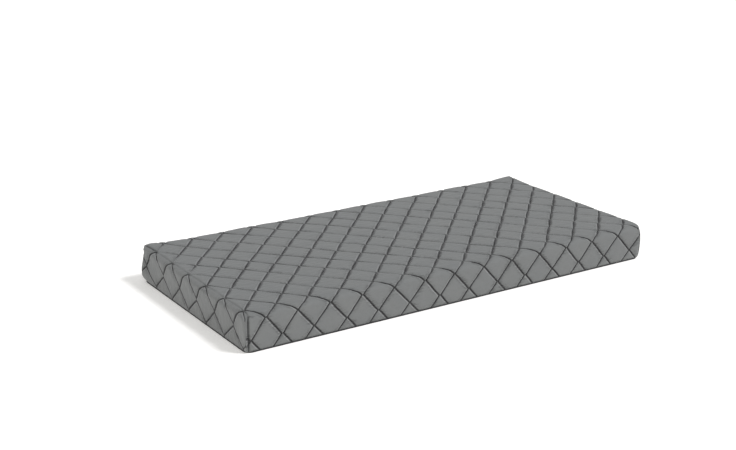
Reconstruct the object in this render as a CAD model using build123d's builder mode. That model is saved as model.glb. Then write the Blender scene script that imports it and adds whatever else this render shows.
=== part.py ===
from build123d import *

import os
from math import atan2, ceil, degrees, floor, hypot

# A single memory foam mattress in a quilted zip-off cover, as it comes apart on a bench.
# Millimetres. The origin is the centre of the underside, +X runs along the length,
# +Y across the width towards the long side that carries the zip, and +Z is up.

# Overall size: a standard single
LENGTH = 1900.0
WIDTH = 900.0
HEIGHT = 150.0
CORNER_RADIUS = 30.0  # seen from above
EDGE_RADIUS = 25.0  # round the top edge

# Quilted cover, from the outside in
THREAD_DEPTH = 0.4
THREAD_WIDTH = 1.2
FACE_FABRIC = 0.9
WADDING = 6.2
BACKING = 0.7
LAYER_GAP = 0.2
SEAM_SLIT = 0.6  # where the cover's walls meet at each corner
CORNER_BINDING_WIDTH = 3.0
CORNER_BINDING_DEPTH = 7.0

# Diamond quilting, on the cover laid out flat
DIAMOND_LENGTH = 141.5  # from turn to turn along the mattress
DIAMOND_WIDTH = 154.6  # and across it
TURN_GAP = 6.0  # between two neighbouring lines where they turn
FIRST_ROW_DROP = 26.7  # the first row of turns lies this far below the front top edge
QUILTING_HEM = 1.0  # the lines stop this far above the cover's lower edge

# Underside and the piping round it
BOTTOM_INSET = 6.0
BOTTOM_PANEL = 1.2
BOTTOM_LINING = 2.0
PIPING_INSET = 3.3
PIPING_CORD_RADIUS = 1.5
SLEEVE_CLEARANCE = 0.1
SLEEVE_PLY = 0.8
FLANGE_SLIT = 0.2
FLANGE_INSET = 9.8
FLANGE_START = 0.6  # from the cord's middle, where the flange leaves the ring

# Inner sock and foam
SOCK_INSET = 10.2
SOCK_TOP_GAP = 0.2
SOCK_CLOTH = 1.0
SOCK_BASE = 1.2
SOCK_CORNER_RADIUS = 38.0
SOCK_EDGE_RADIUS = 16.0
FOAM_GAP = 0.3
SUPPORT_FOAM = 70.0
TRANSITION_FOAM = 25.0

# Zip along the lower part of the back wall
ZIP_HEIGHT = 22.0  # centre line, above the floor
ZIP_OPENING_LENGTH = 1760.0
ZIP_OPENING_TOP = 36.0
TAPE_LENGTH = 1750.0
TAPE_DEPTH = 7.0  # its outer face, in from the mattress's side
TAPE = 0.8
TAPE_TOP = 44.0
TAPE_REBATE_GAP = 0.1
CHAIN_HALF_GAP = 0.6  # between the two rows of teeth the slider's neck runs
COIL_WIDTH = 2.6
COIL_DEPTH = 2.4
COIL_ROUNDING = 0.7
STOP_LENGTH = 4.0
STOP_DEPTH = 3.4
STOP_OVERHANG = 0.4
END_TAB_START = 850.0
END_TAB_END = 872.0
END_TAB = 1.2

# Slider and pull
SLIDER_AT = -815.0  # closed
SLIDER_TRAVEL = 1630.0
SLIDER_LENGTH = 14.0
SLIDER_NOSE_WIDTH = 11.4
SLIDER_TAIL_WIDTH = 10.0
SLIDER_PLATE = 1.3
SLIDER_GAP = 0.3  # running clearance to tape, coil and stops
SLIDER_FLANGE = 1.1
SLIDER_ROUNDING = 1.5
SLIDER_NECK_START = 1.5  # from the nose
SLIDER_NECK_END = 4.5
SLIDER_NECK_WIDTH = 0.8
BAIL_REACH = 4.6
BAIL_LEG = 1.2
BAIL_WIDTH = 1.6
BAIL_BAR = 0.9
PULL_PIN_RADIUS = 0.6
PULL_LENGTH = 30.0
PULL_EYE_LENGTH = 5.6
PULL_EYE_HALF_WIDTH = 1.3
PULL_ARM = 1.6
PULL_GRIP_WIDTH = 7.0
PULL_HOLE_RADIUS = 1.2

# Care label, blank
LABEL_START = 838.0
LABEL_END = 868.0
LABEL_BOTTOM = 8.0
LABEL_CLOTH = 0.5
LABEL_GAP = 0.2

# Depths of the cover's layers, in from the outside
FACE_OUT = THREAD_DEPTH
FACE_IN = FACE_OUT + FACE_FABRIC
WADDING_OUT = FACE_IN + LAYER_GAP
WADDING_IN = WADDING_OUT + WADDING
BACKING_OUT = WADDING_IN + LAYER_GAP
BACKING_IN = BACKING_OUT + BACKING

# Heights of what is stacked from the floor up
LINING_TOP = BOTTOM_PANEL + BOTTOM_LINING
FLANGE_TOP = LINING_TOP + 2 * SLEEVE_PLY + FLANGE_SLIT
SLEEVE_RADIUS = PIPING_CORD_RADIUS + SLEEVE_CLEARANCE + SLEEVE_PLY
PIPING_HEIGHT = FLANGE_TOP - SLEEVE_RADIUS
COVER_BOTTOM = FLANGE_TOP
SOCK_BASE_TOP = LINING_TOP + SOCK_BASE
SUPPORT_TOP = SOCK_BASE_TOP + SUPPORT_FOAM
TRANSITION_TOP = SUPPORT_TOP + TRANSITION_FOAM
SOCK_TOP = HEIGHT - BACKING_IN - SOCK_TOP_GAP
SOCK_INSIDE_TOP = SOCK_TOP - SOCK_CLOTH
FOAM_TOP = SOCK_INSIDE_TOP - FOAM_GAP
FOAM_INSET = SOCK_INSET + SOCK_CLOTH + FOAM_GAP
CUT = 5.0  # how far a cutter reaches past what it cuts

# Places of the zip's parts on the Y axis, from the inside out
TAPE_OUT_Y = WIDTH / 2 - TAPE_DEPTH
TAPE_IN_Y = TAPE_OUT_Y - TAPE
COIL_OUT_Y = TAPE_OUT_Y + COIL_DEPTH
TOP_PLATE_Y = COIL_OUT_Y + SLIDER_GAP
TOP_PLATE_OUT_Y = TOP_PLATE_Y + SLIDER_PLATE
BOTTOM_PLATE_OUT_Y = TAPE_IN_Y - 2 * SLIDER_GAP
BOTTOM_PLATE_Y = BOTTOM_PLATE_OUT_Y - SLIDER_PLATE
PULL_Y = TOP_PLATE_OUT_Y + SLIDER_GAP + PULL_PIN_RADIUS
BAIL_Y = PULL_Y + PULL_PIN_RADIUS + SLIDER_GAP
CHAIN_HALF_LENGTH = SLIDER_TRAVEL / 2 + SLIDER_LENGTH / 2 + SLIDER_GAP

CORNERS = {
    "front_left": (-1, -1),
    "front_right": (1, -1),
    "back_left": (-1, 1),
    "back_right": (1, 1),
}

os.makedirs("parts", exist_ok=True)


def rounded_block(inset, bottom, top, corner_radius, edge_radius):
    """A block this far inside the mattress's sides, rounded at its corners and top edge."""
    with BuildPart() as block:
        with BuildSketch(Plane.XY.offset(bottom)):
            RectangleRounded(LENGTH - 2 * inset, WIDTH - 2 * inset, corner_radius)
        extrude(amount=top - bottom)
        fillet(block.faces().sort_by(Axis.Z)[-1].edges(), radius=edge_radius)
    return block.part


def cover_form(inset, bottom=COVER_BOTTOM):
    """The cover's outside shape, shrunk evenly by the inset."""
    return rounded_block(
        inset, bottom, HEIGHT - inset, CORNER_RADIUS - inset, EDGE_RADIUS - inset
    )


def sheet(inset, corner_radius, bottom, thickness):
    """Adds a flat rounded sheet or slab to the part being built."""
    with BuildSketch(Plane.XY.offset(bottom)) as outline:
        RectangleRounded(LENGTH - 2 * inset, WIDTH - 2 * inset, corner_radius)
    extrude(outline.sketch, amount=thickness)


def slab(x_limits, y_limits, z_limits, mode=Mode.ADD):
    """Adds a box between these limits to the part being built, or cuts it away."""
    with Locations((x_limits[0], y_limits[0], z_limits[0])):
        Box(
            x_limits[1] - x_limits[0],
            y_limits[1] - y_limits[0],
            z_limits[1] - z_limits[0],
            align=Align.MIN,
            mode=mode,
        )


def corner_location(side_x, side_y, height):
    """The centre of a corner's rounding, with its X axis pointing out through the corner."""
    centre = (
        side_x * (LENGTH / 2 - CORNER_RADIUS),
        side_y * (WIDTH / 2 - CORNER_RADIUS),
        height,
    )
    return Location(centre, (0, 0, degrees(atan2(side_y, side_x))))


def open_corners_and_back():
    """Parts a cover layer at its four sewn corners and cuts out the zip's opening."""
    seam_height = HEIGHT - EDGE_RADIUS - COVER_BOTTOM
    for side_x, side_y in CORNERS.values():
        with Locations(corner_location(side_x, side_y, COVER_BOTTOM)):
            Box(
                CORNER_RADIUS + CUT,
                SEAM_SLIT,
                seam_height,
                align=(Align.MIN, Align.CENTER, Align.MIN),
                mode=Mode.SUBTRACT,
            )
    slab(
        (-ZIP_OPENING_LENGTH / 2, ZIP_OPENING_LENGTH / 2),
        (WIDTH / 2 - BACKING_IN - CUT, WIDTH / 2 + CUT),
        (COVER_BOTTOM - CUT, ZIP_OPENING_TOP),
        mode=Mode.SUBTRACT,
    )


# Quilted cover: one piece folded down on all four sides, sewn up at the corners

face_outside = cover_form(FACE_OUT)
face_inside = cover_form(FACE_IN, COVER_BOTTOM - CUT)
with BuildPart() as cover_face_fabric:
    add(face_outside)
    add(face_inside, mode=Mode.SUBTRACT)
    open_corners_and_back()
cover_face_fabric.part.label = "cover_face_fabric"
export_step(cover_face_fabric.part, "parts/cover_face_fabric.step")

wadding_outside = cover_form(WADDING_OUT)
wadding_inside = cover_form(WADDING_IN, COVER_BOTTOM - CUT)
with BuildPart() as cover_wadding:
    add(wadding_outside)
    add(wadding_inside, mode=Mode.SUBTRACT)
    open_corners_and_back()
    slab(
        (-TAPE_LENGTH / 2 - LAYER_GAP, TAPE_LENGTH / 2 + LAYER_GAP),
        (TAPE_IN_Y - CUT, TAPE_OUT_Y + TAPE_REBATE_GAP),
        (ZIP_OPENING_TOP - CUT, TAPE_TOP + LAYER_GAP),
        mode=Mode.SUBTRACT,
    )
cover_wadding.part.label = "cover_wadding"
export_step(cover_wadding.part, "parts/cover_wadding.step")

backing_outside = cover_form(BACKING_OUT)
backing_inside = cover_form(BACKING_IN, COVER_BOTTOM - CUT)
with BuildPart() as cover_backing:
    add(backing_outside)
    add(backing_inside, mode=Mode.SUBTRACT)
    open_corners_and_back()
cover_backing.part.label = "cover_backing"
export_step(cover_backing.part, "parts/cover_backing.step")


# Tape that binds the seam inside each corner

for corner, (side_x, side_y) in CORNERS.items():
    with BuildPart() as corner_binding:
        with Locations(corner_location(side_x, side_y, COVER_BOTTOM + LAYER_GAP)):
            with Locations((CORNER_RADIUS - BACKING_IN - LAYER_GAP, 0, 0)):
                Box(
                    CORNER_BINDING_DEPTH,
                    CORNER_BINDING_WIDTH,
                    HEIGHT - EDGE_RADIUS - COVER_BOTTOM,
                    align=(Align.MAX, Align.CENTER, Align.MIN),
                )
    corner_binding.part.label = f"corner_binding_{corner}"
    export_step(corner_binding.part, f"parts/corner_binding_{corner}.step")


# Quilting: each wall's plane is placed so that its own coordinates are those of the
# cover laid out flat, with u from the left end and v from the front top edge

FACE_PLANES = {
    "top": Plane((-LENGTH / 2, -WIDTH / 2, HEIGHT - FACE_OUT), (1, 0, 0), (0, 0, 1)),
    "front": Plane((-LENGTH / 2, -WIDTH / 2 + FACE_OUT, HEIGHT), (1, 0, 0), (0, -1, 0)),
    "back": Plane(
        (-LENGTH / 2, WIDTH / 2 - FACE_OUT, HEIGHT + WIDTH), (1, 0, 0), (0, 1, 0)
    ),
    "left": Plane((-LENGTH / 2 + FACE_OUT, -WIDTH / 2, HEIGHT), (0, 0, 1), (-1, 0, 0)),
    "right": Plane(
        (LENGTH / 2 - FACE_OUT, -WIDTH / 2, HEIGHT + LENGTH), (0, 0, -1), (1, 0, 0)
    ),
}
WALL_DROP = HEIGHT - COVER_BOTTOM - QUILTING_HEM
BACK_WALL_DROP = HEIGHT - ZIP_OPENING_TOP - QUILTING_HEM
ALONG = (CORNER_RADIUS, LENGTH - CORNER_RADIUS)
ACROSS = (CORNER_RADIUS, WIDTH - CORNER_RADIUS)
FACE_LIMITS = {
    "top": ((EDGE_RADIUS, LENGTH - EDGE_RADIUS), (EDGE_RADIUS, WIDTH - EDGE_RADIUS)),
    "front": (ALONG, (-WALL_DROP, -EDGE_RADIUS)),
    "back": (ALONG, (WIDTH + EDGE_RADIUS, WIDTH + BACK_WALL_DROP)),
    "left": ((-WALL_DROP, -EDGE_RADIUS), ACROSS),
    "right": ((LENGTH + EDGE_RADIUS, LENGTH + WALL_DROP), ACROSS),
}


def quilting_lines(u_limits, v_limits):
    """Draws each needle's zigzag line that crosses this part of the laid-out cover.

    Neighbouring lines mirror each other and almost meet at every turn, and the pairs of
    turns that nearly touch are the corners of the diamonds.
    """
    strip_reach = THREAD_WIDTH / 2 * hypot(DIAMOND_LENGTH, DIAMOND_WIDTH) / DIAMOND_WIDTH
    first_line = floor(2 * u_limits[0] / DIAMOND_LENGTH)
    last_line = ceil(2 * u_limits[1] / DIAMOND_LENGTH)
    first_turn = floor(2 * (v_limits[0] + FIRST_ROW_DROP) / DIAMOND_WIDTH)
    last_turn = ceil(2 * (v_limits[1] + FIRST_ROW_DROP) / DIAMOND_WIDTH)
    for line in range(first_line, last_line):
        middle = DIAMOND_LENGTH / 2 * (line + 0.5)
        swing = (DIAMOND_LENGTH / 2 - TURN_GAP) / 2
        turns = [
            (
                middle + (swing if (line + turn) % 2 == 0 else -swing),
                DIAMOND_WIDTH / 2 * turn - FIRST_ROW_DROP,
            )
            for turn in range(first_turn, last_turn + 1)
        ]
        left_side = [(u - strip_reach, v) for u, v in turns]
        right_side = [(u + strip_reach, v) for u, v in reversed(turns)]
        with BuildLine() as outline:
            Polyline(*left_side, *right_side, close=True)
        make_face(outline.edges())
    with Locations((sum(u_limits) / 2, sum(v_limits) / 2)):
        Rectangle(
            u_limits[1] - u_limits[0], v_limits[1] - v_limits[0], mode=Mode.INTERSECT
        )


for face, plane in FACE_PLANES.items():
    with BuildPart() as quilting_thread:
        with BuildSketch(plane):
            quilting_lines(*FACE_LIMITS[face])
        extrude(amount=THREAD_DEPTH)
    quilting_thread.part.label = f"quilting_thread_{face}"
    export_step(quilting_thread.part, f"parts/quilting_thread_{face}.step")


# Underside: a non-slip panel on a felt lining

with BuildPart() as bottom_panel:
    sheet(BOTTOM_INSET, CORNER_RADIUS - BOTTOM_INSET, 0, BOTTOM_PANEL)
bottom_panel.part.label = "bottom_panel"
export_step(bottom_panel.part, "parts/bottom_panel.step")

with BuildPart() as bottom_lining:
    sheet(BOTTOM_INSET, CORNER_RADIUS - BOTTOM_INSET, BOTTOM_PANEL, BOTTOM_LINING)
bottom_lining.part.label = "bottom_lining"
export_step(bottom_lining.part, "parts/bottom_lining.step")


# Piping: a cord in a folded sleeve, whose flange is sewn between cover and underside

with BuildLine(Plane.XY.offset(PIPING_HEIGHT)) as piping_loop:
    FilletPolyline(
        (PIPING_INSET - LENGTH / 2, PIPING_INSET - WIDTH / 2),
        (LENGTH / 2 - PIPING_INSET, PIPING_INSET - WIDTH / 2),
        (LENGTH / 2 - PIPING_INSET, WIDTH / 2 - PIPING_INSET),
        (PIPING_INSET - LENGTH / 2, WIDTH / 2 - PIPING_INSET),
        radius=CORNER_RADIUS - PIPING_INSET,
        close=True,
    )
piping_route = piping_loop.wire()
# across the route, with X pointing in under the mattress and Y up
piping_section = Plane(
    piping_route @ 0, Vector(0, 0, 1).cross(piping_route % 0), piping_route % 0
)
flange_reach = FLANGE_INSET - PIPING_INSET

with BuildPart() as piping_cord:
    with BuildSketch(piping_section):
        Circle(PIPING_CORD_RADIUS)
    sweep(path=piping_route)
piping_cord.part.label = "piping_cord"
export_step(piping_cord.part, "parts/piping_cord.step")

with BuildPart() as piping_sleeve:
    with BuildSketch(piping_section):
        Circle(SLEEVE_RADIUS)
        with Locations((FLANGE_START, SLEEVE_RADIUS)):
            Rectangle(
                flange_reach - FLANGE_START,
                2 * SLEEVE_PLY + FLANGE_SLIT,
                align=(Align.MIN, Align.MAX),
            )
        Circle(PIPING_CORD_RADIUS + SLEEVE_CLEARANCE, mode=Mode.SUBTRACT)
        with Locations((0, SLEEVE_RADIUS - SLEEVE_PLY)):
            Rectangle(
                flange_reach + CUT,
                FLANGE_SLIT,
                align=(Align.MIN, Align.MAX),
                mode=Mode.SUBTRACT,
            )
    sweep(path=piping_route)
piping_sleeve.part.label = "piping_sleeve"
export_step(piping_sleeve.part, "parts/piping_sleeve.step")


# Inner sock: a knitted cap over the foam, closed by a base sheet

sock_outside = rounded_block(
    SOCK_INSET, SOCK_BASE_TOP, SOCK_TOP, SOCK_CORNER_RADIUS, SOCK_EDGE_RADIUS
)
sock_inside = rounded_block(
    SOCK_INSET + SOCK_CLOTH,
    SOCK_BASE_TOP - CUT,
    SOCK_INSIDE_TOP,
    SOCK_CORNER_RADIUS - SOCK_CLOTH,
    SOCK_EDGE_RADIUS - SOCK_CLOTH,
)
with BuildPart() as inner_sock:
    add(sock_outside)
    add(sock_inside, mode=Mode.SUBTRACT)
inner_sock.part.label = "inner_sock"
export_step(inner_sock.part, "parts/inner_sock.step")

with BuildPart() as inner_sock_base:
    sheet(SOCK_INSET, SOCK_CORNER_RADIUS, LINING_TOP, SOCK_BASE)
inner_sock_base.part.label = "inner_sock_base"
export_step(inner_sock_base.part, "parts/inner_sock_base.step")


# Foam: three slabs glued one on another

foam_corner_radius = SOCK_CORNER_RADIUS - SOCK_CLOTH - FOAM_GAP
foam_edge_radius = SOCK_EDGE_RADIUS - SOCK_CLOTH - FOAM_GAP

with BuildPart() as support_foam_base:
    sheet(FOAM_INSET, foam_corner_radius, SOCK_BASE_TOP, SUPPORT_FOAM)
support_foam_base.part.label = "support_foam_base"
export_step(support_foam_base.part, "parts/support_foam_base.step")

with BuildPart() as transition_foam:
    sheet(FOAM_INSET, foam_corner_radius, SUPPORT_TOP, TRANSITION_FOAM)
transition_foam.part.label = "transition_foam"
export_step(transition_foam.part, "parts/transition_foam.step")

memory_foam_block = rounded_block(
    FOAM_INSET, TRANSITION_TOP, FOAM_TOP, foam_corner_radius, foam_edge_radius
)
with BuildPart() as memory_foam_layer:
    add(memory_foam_block)
memory_foam_layer.part.label = "memory_foam_layer"
export_step(memory_foam_layer.part, "parts/memory_foam_layer.step")


# Zip tapes: the upper one is sewn in behind the cover's wall, the lower one to the piping

tape_x = (-TAPE_LENGTH / 2, TAPE_LENGTH / 2)
tape_y = (TAPE_IN_Y, TAPE_OUT_Y)

with BuildPart() as zip_tape_upper:
    slab(tape_x, tape_y, (ZIP_HEIGHT + CHAIN_HALF_GAP, TAPE_TOP))
zip_tape_upper.part.label = "zip_tape_upper"
export_step(zip_tape_upper.part, "parts/zip_tape_upper.step")

with BuildPart() as zip_tape_lower:
    slab(tape_x, tape_y, (FLANGE_TOP, ZIP_HEIGHT - CHAIN_HALF_GAP))
zip_tape_lower.part.label = "zip_tape_lower"
export_step(zip_tape_lower.part, "parts/zip_tape_lower.step")


# Zip coils: the two rows of teeth, each sewn along its tape's edge

for row, side in {"upper": 1, "lower": -1}.items():
    with BuildPart() as zip_coil:
        coil_middle = ZIP_HEIGHT + side * (CHAIN_HALF_GAP + COIL_WIDTH / 2)
        slab(
            (-CHAIN_HALF_LENGTH, CHAIN_HALF_LENGTH),
            (TAPE_OUT_Y, COIL_OUT_Y),
            (coil_middle - COIL_WIDTH / 2, coil_middle + COIL_WIDTH / 2),
        )
        long_edges = zip_coil.edges().filter_by(Axis.X)
        fillet(long_edges.group_by(Axis.Y)[-1], radius=COIL_ROUNDING)
    zip_coil.part.label = f"zip_coil_{row}"
    export_step(zip_coil.part, f"parts/zip_coil_{row}.step")


# Zip stops: two at the closed end, one on each tape, and one across both at the open end

stop_y = (TAPE_OUT_Y, TAPE_OUT_Y + STOP_DEPTH)
stop_reach = CHAIN_HALF_GAP + COIL_WIDTH + STOP_OVERHANG

with BuildPart() as zip_top_stops:
    stop_x = (-CHAIN_HALF_LENGTH - STOP_LENGTH, -CHAIN_HALF_LENGTH)
    slab(stop_x, stop_y, (ZIP_HEIGHT + CHAIN_HALF_GAP, ZIP_HEIGHT + stop_reach))
    slab(stop_x, stop_y, (ZIP_HEIGHT - stop_reach, ZIP_HEIGHT - CHAIN_HALF_GAP))
zip_top_stops.part.label = "zip_top_stops"
export_step(zip_top_stops.part, "parts/zip_top_stops.step")

with BuildPart() as zip_bottom_stop:
    stop_x = (CHAIN_HALF_LENGTH, CHAIN_HALF_LENGTH + STOP_LENGTH)
    slab(stop_x, stop_y, (ZIP_HEIGHT - stop_reach, ZIP_HEIGHT + stop_reach))
zip_bottom_stop.part.label = "zip_bottom_stop"
export_step(zip_bottom_stop.part, "parts/zip_bottom_stop.step")


# Patches sewn over the ends of the tapes

for end, side in {"left": -1, "right": 1}.items():
    with BuildPart() as zip_end_tab:
        tab_x = sorted((side * END_TAB_START, side * END_TAB_END))
        slab(
            tab_x,
            (TAPE_OUT_Y, TAPE_OUT_Y + END_TAB),
            (FLANGE_TOP, ZIP_OPENING_TOP - QUILTING_HEM),
        )
    zip_end_tab.part.label = f"zip_end_tab_{end}"
    export_step(zip_end_tab.part, f"parts/zip_end_tab_{end}.step")


# Care label: hangs from the upper edge of the zip's opening, in front of the right patch

label_y = TAPE_OUT_Y + END_TAB + LABEL_GAP
with BuildPart() as care_label:
    slab(
        (LABEL_START, LABEL_END),
        (label_y, label_y + LABEL_CLOTH),
        (LABEL_BOTTOM, ZIP_OPENING_TOP),
    )
care_label.part.label = "care_label"
export_step(care_label.part, "parts/care_label.step")


# Slider: two plates joined by a neck between the rows of teeth, with a bail on top.
# Its nose, the wide end, faces the closed end of the zip.

slider_tail_x = SLIDER_AT + SLIDER_LENGTH / 2
slider_nose_x = SLIDER_AT - SLIDER_LENGTH / 2


def slider_outline():
    """Draws the slider's tapering outline, seen from behind the mattress."""
    with BuildLine() as outline:
        FilletPolyline(
            (slider_nose_x, ZIP_HEIGHT - SLIDER_NOSE_WIDTH / 2),
            (slider_tail_x, ZIP_HEIGHT - SLIDER_TAIL_WIDTH / 2),
            (slider_tail_x, ZIP_HEIGHT + SLIDER_TAIL_WIDTH / 2),
            (slider_nose_x, ZIP_HEIGHT + SLIDER_NOSE_WIDTH / 2),
            radius=SLIDER_ROUNDING,
            close=True,
        )
    make_face(outline.edges())


def back_plane(y):
    """The upright plane at this Y, whose own axes are X and Z and whose normal is -Y."""
    return Plane.XZ.offset(-y)


channel_half_width = SLIDER_TAIL_WIDTH / 2 - SLIDER_FLANGE
with BuildPart() as zip_slider_body:
    # top plate, with side flanges that reach in towards the tape
    with BuildSketch(back_plane(TAPE_OUT_Y + SLIDER_GAP)):
        slider_outline()
    extrude(amount=TAPE_OUT_Y + SLIDER_GAP - TOP_PLATE_OUT_Y)
    slab(
        (slider_nose_x - CUT, slider_tail_x + CUT),
        (TAPE_OUT_Y, TOP_PLATE_Y),
        (ZIP_HEIGHT - channel_half_width, ZIP_HEIGHT + channel_half_width),
        mode=Mode.SUBTRACT,
    )
    # bottom plate, behind the tapes
    with BuildSketch(back_plane(BOTTOM_PLATE_Y)):
        slider_outline()
    extrude(amount=-SLIDER_PLATE)
    # neck, near the nose
    slab(
        (slider_nose_x + SLIDER_NECK_START, slider_nose_x + SLIDER_NECK_END),
        (BOTTOM_PLATE_OUT_Y, TOP_PLATE_Y),
        (ZIP_HEIGHT - SLIDER_NECK_WIDTH / 2, ZIP_HEIGHT + SLIDER_NECK_WIDTH / 2),
    )
    # bail: an arch along the slider that holds the pull's pin
    bail_z = (ZIP_HEIGHT - BAIL_WIDTH / 2, ZIP_HEIGHT + BAIL_WIDTH / 2)
    slab(
        (SLIDER_AT - BAIL_REACH, SLIDER_AT + BAIL_REACH),
        (TOP_PLATE_OUT_Y, BAIL_Y + BAIL_BAR),
        bail_z,
    )
    slab(
        (SLIDER_AT - BAIL_REACH + BAIL_LEG, SLIDER_AT + BAIL_REACH - BAIL_LEG),
        (TOP_PLATE_OUT_Y, BAIL_Y),
        bail_z,
        mode=Mode.SUBTRACT,
    )
zip_slider_body.part.label = "zip_slider_body"
export_step(zip_slider_body.part, "parts/zip_slider_body.step")


# Pull: a flat tab whose eye closes round the bail with a pin under the arch

with BuildPart() as zip_pull_tab:
    eye_outer = PULL_EYE_HALF_WIDTH + PULL_ARM
    with BuildSketch(back_plane(PULL_Y - PULL_PIN_RADIUS)):
        with BuildLine():
            Polyline(
                (SLIDER_AT, ZIP_HEIGHT - eye_outer),
                (SLIDER_AT + PULL_EYE_LENGTH, ZIP_HEIGHT - eye_outer),
                (SLIDER_AT + 2 * PULL_EYE_LENGTH, ZIP_HEIGHT - PULL_GRIP_WIDTH / 2),
                (SLIDER_AT + PULL_LENGTH, ZIP_HEIGHT - PULL_GRIP_WIDTH / 2),
                (SLIDER_AT + PULL_LENGTH, ZIP_HEIGHT + PULL_GRIP_WIDTH / 2),
                (SLIDER_AT + 2 * PULL_EYE_LENGTH, ZIP_HEIGHT + PULL_GRIP_WIDTH / 2),
                (SLIDER_AT + PULL_EYE_LENGTH, ZIP_HEIGHT + eye_outer),
                (SLIDER_AT, ZIP_HEIGHT + eye_outer),
                close=True,
            )
        make_face()
        with Locations((SLIDER_AT + PULL_EYE_LENGTH, ZIP_HEIGHT)):
            Rectangle(
                PULL_EYE_LENGTH + CUT,
                2 * PULL_EYE_HALF_WIDTH,
                align=(Align.MAX, Align.CENTER),
                mode=Mode.SUBTRACT,
            )
        with Locations((SLIDER_AT + PULL_LENGTH - PULL_GRIP_WIDTH / 2, ZIP_HEIGHT)):
            Circle(PULL_HOLE_RADIUS, mode=Mode.SUBTRACT)
    extrude(amount=-2 * PULL_PIN_RADIUS)
    grip_corners = zip_pull_tab.edges().filter_by(Axis.Y).group_by(Axis.X)[-1]
    fillet(grip_corners, radius=PULL_GRIP_WIDTH / 3)
    with BuildSketch(Plane.XY.offset(ZIP_HEIGHT - eye_outer)):
        with Locations((SLIDER_AT, PULL_Y)):
            Circle(PULL_PIN_RADIUS)
    extrude(amount=2 * eye_outer)
zip_pull_tab.part.label = "zip_pull_tab"
export_step(zip_pull_tab.part, "parts/zip_pull_tab.step")
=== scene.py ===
import math

import bmesh
import bpy
import numpy as np
from mathutils import Matrix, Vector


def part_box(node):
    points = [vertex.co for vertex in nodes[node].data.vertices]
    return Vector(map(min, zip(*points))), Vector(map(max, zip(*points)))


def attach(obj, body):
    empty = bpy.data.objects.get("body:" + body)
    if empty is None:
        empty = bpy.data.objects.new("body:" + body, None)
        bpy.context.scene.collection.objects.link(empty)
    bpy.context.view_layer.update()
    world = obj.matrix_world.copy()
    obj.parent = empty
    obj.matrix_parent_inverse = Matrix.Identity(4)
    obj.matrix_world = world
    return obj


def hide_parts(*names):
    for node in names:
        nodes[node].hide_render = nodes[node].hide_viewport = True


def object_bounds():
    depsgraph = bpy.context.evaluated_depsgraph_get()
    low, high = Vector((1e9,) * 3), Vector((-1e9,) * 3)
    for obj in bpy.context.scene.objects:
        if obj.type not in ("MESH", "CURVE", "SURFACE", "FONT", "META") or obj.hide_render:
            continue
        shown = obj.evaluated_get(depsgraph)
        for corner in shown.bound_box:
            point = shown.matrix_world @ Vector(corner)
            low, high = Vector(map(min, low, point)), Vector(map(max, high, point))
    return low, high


# A single memory foam mattress in a grey diamond-quilted cover.
# Everything is in metres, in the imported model's frame: the origin is the centre of the
# underside, +X runs along the length, -Y is the plain long side and +Y the zipped one.

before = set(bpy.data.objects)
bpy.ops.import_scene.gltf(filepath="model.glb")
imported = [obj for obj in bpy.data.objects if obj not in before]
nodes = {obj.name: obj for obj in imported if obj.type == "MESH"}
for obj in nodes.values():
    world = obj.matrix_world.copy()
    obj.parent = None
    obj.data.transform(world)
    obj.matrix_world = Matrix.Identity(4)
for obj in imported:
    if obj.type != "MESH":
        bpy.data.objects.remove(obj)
scene = bpy.context.scene
cad_low, cad_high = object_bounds()

# ---- Sizes ----

LENGTH = cad_high.x - cad_low.x
WIDTH = cad_high.y - cad_low.y
HEIGHT = cad_high.z
COVER_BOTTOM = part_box("cover_face_fabric")[0].z
WALL = HEIGHT - COVER_BOTTOM
CORNER_RADIUS = 0.030  # seen from above
EDGE_RADIUS = 0.025  # round the top edge

# The cover laid out flat: u runs from the left end, v from the front top edge, and the
# walls lie beyond the top on all four sides.
OPENING_HALF = 0.8735  # the zip's opening in the back wall, half its length
OPENING_TOP = 0.036  # and the height that it reaches
OPENING_V = WIDTH + HEIGHT - OPENING_TOP

# Quilting: each needle sews a zigzag across the mattress and its neighbours mirror it.
LINE_PITCH = 0.1415 / 2
TURN_PITCH = 0.1506 / 2
TURN_GAP = 0.0045  # between two neighbours where they turn beside each other
FIRST_TURN = -0.0267
SLANT = math.hypot(LINE_PITCH - TURN_GAP, TURN_PITCH)  # a line's run between two turns
# a stitch line's distance measured square to it, for a distance measured along u
SQUARE = TURN_PITCH / SLANT

GROOVE_INSET = 0.0073  # the stitched lines lie this deep under the outside
PILLOW = 0.0078  # and the pillows stand this high over them
GROOVE_WIDTH = 0.0027  # the distance in which a pillow gains two thirds of its height
SLACK_FILL = 0.8  # and the share of it that the pillows keep across a wholly slack line
FOLD_DEPTH = 0.0100
FOLD_FLOOR = 0.0008  # over the stitches' level, so that no fold reaches the backing
CREASE_RISE = 0.0052  # the creased top edges stand at least this high over the stitches
HEM_DEPTH = 0.0036  # the cover's lower edge is drawn in this far
ZIP_HEM_DEPTH = 0.0056  # and its edge round the zip this far


# ---- Nodes and materials ----


def node(tree, kind, values=None, **settings):
    """Adds a shader node. Values go to its inputs: sockets are linked, the rest is set."""
    made = tree.nodes.new("ShaderNode" + kind)
    for key, value in settings.items():
        setattr(made, key, value)
    for key, value in (values or {}).items():
        if isinstance(value, bpy.types.NodeSocket):
            tree.links.new(value, made.inputs[key])
        else:
            made.inputs[key].default_value = value
    return made


def maths(tree, operation, *values):
    """The output of a Math node."""
    return node(tree, "Math", dict(enumerate(values)), operation=operation).outputs[0]


def product(tree, *values):
    """All the values multiplied together."""
    total = values[0]
    for value in values[1:]:
        total = maths(tree, "MULTIPLY", total, value)
    return total


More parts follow.
